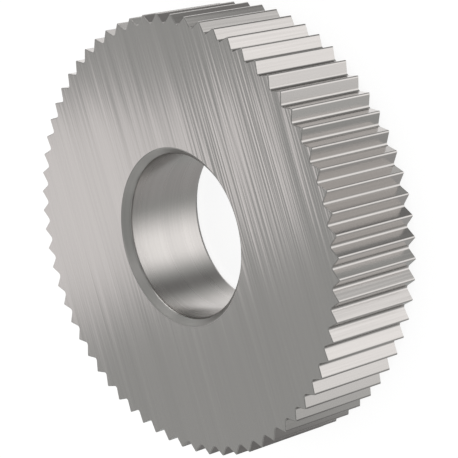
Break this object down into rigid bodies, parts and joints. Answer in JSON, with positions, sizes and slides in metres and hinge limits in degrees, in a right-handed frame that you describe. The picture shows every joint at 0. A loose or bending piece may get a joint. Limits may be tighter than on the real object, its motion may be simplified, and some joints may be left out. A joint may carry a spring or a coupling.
{
  "type": "knurling wheel",
  "caption": "Straight-toothed cut-knurling wheel: a ground steel disc with V-shaped teeth round its rim and a plain chamfered bore.",
  "frame": {"origin": "on the bore's axis, in the lower ground face", "axes": "+Z along the bore's axis, from the lower ground face to the upper one; a groove between two teeth is centred on +X"},
  "size_m": [0.0214, 0.0214, 0.005],
  "materials": {
    "hardened_steel": "hardened tool steel, end faces ground with straight parallel streaks, tooth flanks and bore smooth satin"
  },
  "bodies": {
    "root": {"knurling_wheel": "hardened_steel"}
  },
  "joints": []
}
